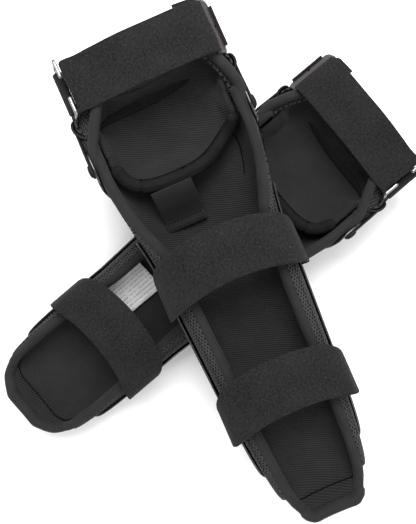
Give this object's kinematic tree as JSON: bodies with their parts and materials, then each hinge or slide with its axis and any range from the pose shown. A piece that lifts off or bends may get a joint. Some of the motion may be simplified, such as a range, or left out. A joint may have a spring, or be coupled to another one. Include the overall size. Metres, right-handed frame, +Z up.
{
  "type": "pair of knee and shin guards",
  "caption": "Hinged knee and shin guards with hard shells, padded liners and wide elastic straps, lying crossed with their open backs up.",
  "frame": {"origin": "on the ground, under the middle of the pair's box", "axes": "+Z up, away from the ground; +Y up the page of the crossed pair; +X to its right. The top guard's leg line is turned 23.8 degrees from +Y towards -X, and the bottom guard's 49.9 degrees towards +X"},
  "size_m": [0.4542, 0.4984, 0.1584],
  "materials": {
    "gloss_shell": "polished",
    "ribbed_lining": "ribbed knit",
    "binding_tape": "knitted tape",
    "spacer_mesh": "open honeycomb mesh",
    "elastic_strap": "woven elastic",
    "webbing": "woven",
    "smooth_cloth": "smooth",
    "steel": "plated",
    "moulded_plastic": "satin",
    "label_cloth": "satin"
  },
  "bodies": {
    "right_shin": {"right_shin_shell": "gloss_shell", "right_knee_shell": "gloss_shell", "right_shin_liner": "ribbed_lining", "right_shin_binding": "binding_tape", "right_shin_mesh_hook_side": "spacer_mesh", "right_shin_mesh_loop_side": "spacer_mesh", "right_centre_tab": "webbing", "right_care_label": "label_cloth", "right_pivot_rivet_hook_side": "steel", "right_pivot_rivet_loop_side": "steel", "right_calf_strap": "elastic_strap", "right_calf_anchor": "webbing", "right_calf_rivet": "steel", "right_ankle_anchor": "webbing", "right_ankle_rivet": "steel"},
    "right_thigh": {"right_knee_pad": "ribbed_lining", "right_knee_roll": "smooth_cloth", "right_thigh_binding": "binding_tape", "right_thigh_mesh_hook_side": "spacer_mesh", "right_thigh_mesh_loop_side": "spacer_mesh", "right_thigh_shell": "gloss_shell", "right_ring_anchor": "webbing"},
    "right_thigh_strap": {"right_thigh_strap": "elastic_strap", "right_hook_ring": "steel", "right_moulded_loop": "moulded_plastic", "right_loop_anchor": "webbing"},
    "right_ankle_strap": {"right_ankle_strap": "elastic_strap"},
    "left_shin": {"left_shin_shell": "gloss_shell", "left_knee_shell": "gloss_shell", "left_shin_liner": "ribbed_lining", "left_shin_binding": "binding_tape", "left_shin_mesh_hook_side": "spacer_mesh", "left_shin_mesh_loop_side": "spacer_mesh", "left_centre_tab": "webbing", "left_pivot_rivet_hook_side": "steel", "left_pivot_rivet_loop_side": "steel", "left_calf_anchor": "webbing", "left_calf_rivet": "steel", "left_ankle_anchor": "webbing", "left_ankle_rivet": "steel"},
    "left_thigh": {"left_knee_pad": "ribbed_lining", "left_knee_roll": "smooth_cloth", "left_thigh_binding": "binding_tape", "left_thigh_mesh_hook_side": "spacer_mesh", "left_thigh_mesh_loop_side": "spacer_mesh", "left_thigh_shell": "gloss_shell", "left_ring_anchor": "webbing"},
    "left_thigh_strap": {"left_thigh_strap": "elastic_strap", "left_hook_ring": "steel", "left_moulded_loop": "moulded_plastic", "left_loop_anchor": "webbing"},
    "left_calf_strap": {"left_calf_strap": "elastic_strap"},
    "left_ankle_strap": {"left_ankle_strap": "elastic_strap"}
  },
  "joints": [
    {"name": "right_knee_flex", "type": "hinge", "parent": "right_shin", "child": "right_thigh", "pos_m": [0.09727, 0.09655, 0.06], "axis": [0.6441, -0.7649, 0], "range_deg": [0, 60], "deforming": ["right_centre_tab"]},
    {"name": "right_thigh_strap_open", "type": "hinge", "parent": "right_thigh", "child": "right_thigh_strap", "pos_m": [0.20415, 0.08916, 0.069], "axis": [0.7649, 0.6441, 0], "range_deg": [0, 110]},
    {"name": "right_ankle_strap_open", "type": "hinge", "parent": "right_shin", "child": "right_ankle_strap", "pos_m": [-0.06517, -0.12351, 0.038], "axis": [0.7649, 0.6441, 0], "range_deg": [0, 110]},
    {"name": "left_guard_lift", "type": "slide", "parent": "right_shin", "child": "left_shin", "axis": [0, 0, 1], "range_m": [0, 0.25]},
    {"name": "left_knee_flex", "type": "hinge", "parent": "left_shin", "child": "left_thigh", "pos_m": [-0.0335, 0.12237, 0.135], "axis": [0.915, 0.4035, 0], "range_deg": [0, 60], "deforming": ["left_centre_tab"]},
    {"name": "left_thigh_strap_open", "type": "hinge", "parent": "left_thigh", "child": "left_thigh_strap", "pos_m": [-0.13274, 0.16276, 0.144], "axis": [0.4035, -0.915, 0], "range_deg": [0, 110]},
    {"name": "left_calf_strap_open", "type": "hinge", "parent": "left_shin", "child": "left_calf_strap", "pos_m": [-0.04301, -0.02828, 0.113], "axis": [0.4035, -0.915, 0], "range_deg": [0, 110]},
    {"name": "left_ankle_strap_open", "type": "hinge", "parent": "left_shin", "child": "left_ankle_strap", "pos_m": [0.01638, -0.14636, 0.113], "axis": [0.4035, -0.915, 0], "range_deg": [0, 110]}
  ]
}
